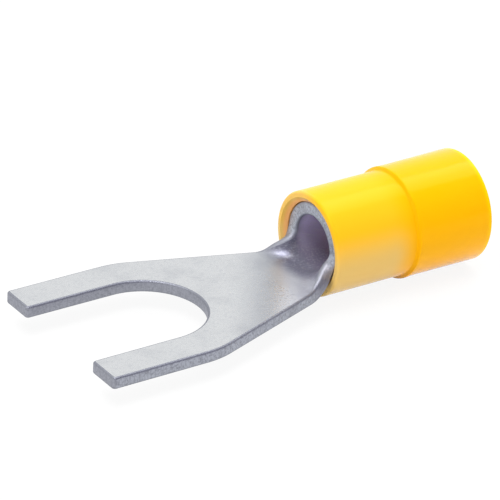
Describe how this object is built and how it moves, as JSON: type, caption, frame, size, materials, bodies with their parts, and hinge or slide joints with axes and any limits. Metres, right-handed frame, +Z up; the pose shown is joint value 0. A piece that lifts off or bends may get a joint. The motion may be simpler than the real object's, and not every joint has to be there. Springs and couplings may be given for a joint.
{
  "type": "fork terminal",
  "caption": "Insulated crimp fork terminal: a flat forked tongue of tinned copper whose neck rolls up into a crimp barrel inside a stepped yellow sleeve with a flared wire entry.",
  "frame": {"origin": "under the middle of the terminal's length, level with the underside of the sleeve's rear section", "axes": "+X along the barrel from the prong tips to the wire entry, +Z up from the flat underside of the tongue, +Y across the fork"},
  "size_m": [0.032, 0.0136, 0.0079],
  "materials": {
    "tinned_copper": "matte tin plating over copper, with fine rolling grain",
    "yellow_vinyl": "glossy moulded vinyl"
  },
  "bodies": {
    "root": {"fork_lug": "tinned_copper", "insulation_sleeve": "yellow_vinyl"}
  },
  "joints": []
}
